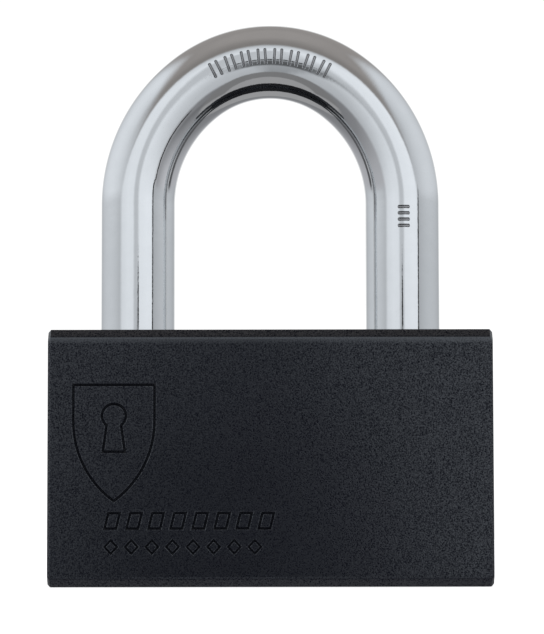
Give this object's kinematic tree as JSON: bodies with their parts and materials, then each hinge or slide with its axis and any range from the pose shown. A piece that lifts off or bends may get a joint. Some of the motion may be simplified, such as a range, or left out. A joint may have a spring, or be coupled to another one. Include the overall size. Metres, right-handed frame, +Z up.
{
  "type": "padlock",
  "caption": "Heavy-duty padlock: a wide black steel block with a thick chromed shackle locked at both legs, opened by a keyed plug in its underside.",
  "frame": {"origin": "centre of the body's underside, where the padlock stands", "axes": "+X to the right across the two shackle legs, with the short toe leg at +X; +Y to the rear, so the marked front faces -Y; +Z up through the shackle's crown"},
  "size_m": [0.0936, 0.035, 0.1215],
  "materials": {
    "black_powder_coat": "satin, finely textured black powder coat over steel",
    "hard_chrome": "polished hard chrome",
    "brass": "machined brass",
    "nickel_silver": "satin nickel silver",
    "blackened_steel": "black oxide",
    "hardened_steel": "ground hardened steel",
    "spring_steel": "bright spring wire",
    "zinc_plated_steel": "satin zinc plate",
    "ball_steel": "polished ball steel"
  },
  "bodies": {
    "lock_body": {"body": "black_powder_coat", "cylinder_housing": "brass", "drill_guard_ring": "blackened_steel", "housing_drill_pins": "hardened_steel", "cylinder_screw": "blackened_steel", "spring_caps": "brass", "pin_spring_1": "spring_steel", "pin_spring_2": "spring_steel", "pin_spring_3": "spring_steel", "pin_spring_4": "spring_steel", "pin_spring_5": "spring_steel"},
    "shackle": {"shackle": "hard_chrome"},
    "plug": {"cylinder_plug": "nickel_silver", "plug_drill_pins": "hardened_steel", "plug_clip": "spring_steel", "lock_cam": "zinc_plated_steel"},
    "toe_ball": {"toe_ball": "ball_steel"},
    "heel_ball": {"heel_ball": "ball_steel"},
    "key_pin_1": {"key_pin_1": "brass"},
    "key_pin_2": {"key_pin_2": "brass"},
    "key_pin_3": {"key_pin_3": "brass"},
    "key_pin_4": {"key_pin_4": "brass"},
    "key_pin_5": {"key_pin_5": "brass"},
    "driver_pin_1": {"driver_pin_1": "hardened_steel"},
    "driver_pin_2": {"driver_pin_2": "hardened_steel"},
    "driver_pin_3": {"driver_pin_3": "hardened_steel"},
    "driver_pin_4": {"driver_pin_4": "hardened_steel"},
    "driver_pin_5": {"driver_pin_5": "hardened_steel"}
  },
  "joints": [
    {"name": "shackle_lift", "type": "slide", "parent": "lock_body", "child": "shackle", "axis": [0, 0, 1], "range_m": [0, 0.026]},
    {"name": "plug_turn", "type": "hinge", "parent": "lock_body", "child": "plug", "pos_m": [0, 0, 0.014], "axis": [0, 0, 1], "range_deg": [-90, 0]},
    {"name": "toe_ball_slide", "type": "slide", "parent": "lock_body", "child": "toe_ball", "axis": [1, 0, 0], "range_m": [0, 0.0042]},
    {"name": "heel_ball_slide", "type": "slide", "parent": "lock_body", "child": "heel_ball", "axis": [-1, 0, 0], "range_m": [0, 0.0028]},
    {"name": "key_pin_1_fall", "type": "slide", "parent": "plug", "child": "key_pin_1", "axis": [1, 0, 0], "range_m": [0, 0.00033]},
    {"name": "key_pin_2_fall", "type": "slide", "parent": "plug", "child": "key_pin_2", "axis": [1, 0, 0], "range_m": [0, 0.00093]},
    {"name": "key_pin_3_fall", "type": "slide", "parent": "plug", "child": "key_pin_3", "axis": [1, 0, 0], "range_m": [0, 0.00053]},
    {"name": "key_pin_4_fall", "type": "slide", "parent": "plug", "child": "key_pin_4", "axis": [1, 0, 0], "range_m": [0, 0.00113]},
    {"name": "key_pin_5_fall", "type": "slide", "parent": "plug", "child": "key_pin_5", "axis": [1, 0, 0], "range_m": [0, 0.00073]},
    {"name": "driver_pin_1_rise", "type": "slide", "parent": "lock_body", "child": "driver_pin_1", "axis": [0, 1, 0], "range_m": [0, 0.00115], "stiffness_N_per_m": 200, "deforming": ["pin_spring_1"]},
    {"name": "driver_pin_2_rise", "type": "slide", "parent": "lock_body", "child": "driver_pin_2", "axis": [0, 1, 0], "range_m": [0, 0.00115], "stiffness_N_per_m": 200, "deforming": ["pin_spring_2"]},
    {"name": "driver_pin_3_rise", "type": "slide", "parent": "lock_body", "child": "driver_pin_3", "axis": [0, 1, 0], "range_m": [0, 0.00115], "stiffness_N_per_m": 200, "deforming": ["pin_spring_3"]},
    {"name": "driver_pin_4_rise", "type": "slide", "parent": "lock_body", "child": "driver_pin_4", "axis": [0, 1, 0], "range_m": [0, 0.00115], "stiffness_N_per_m": 200, "deforming": ["pin_spring_4"]},
    {"name": "driver_pin_5_rise", "type": "slide", "parent": "lock_body", "child": "driver_pin_5", "axis": [0, 1, 0], "range_m": [0, 0.00115], "stiffness_N_per_m": 200, "deforming": ["pin_spring_5"]}
  ],
  "couplings": [
    {"joint": "toe_ball_slide", "follows": "plug_turn", "m_per_rad": -0.002642},
    {"joint": "heel_ball_slide", "follows": "plug_turn", "m_per_rad": -0.0017507}
  ]
}
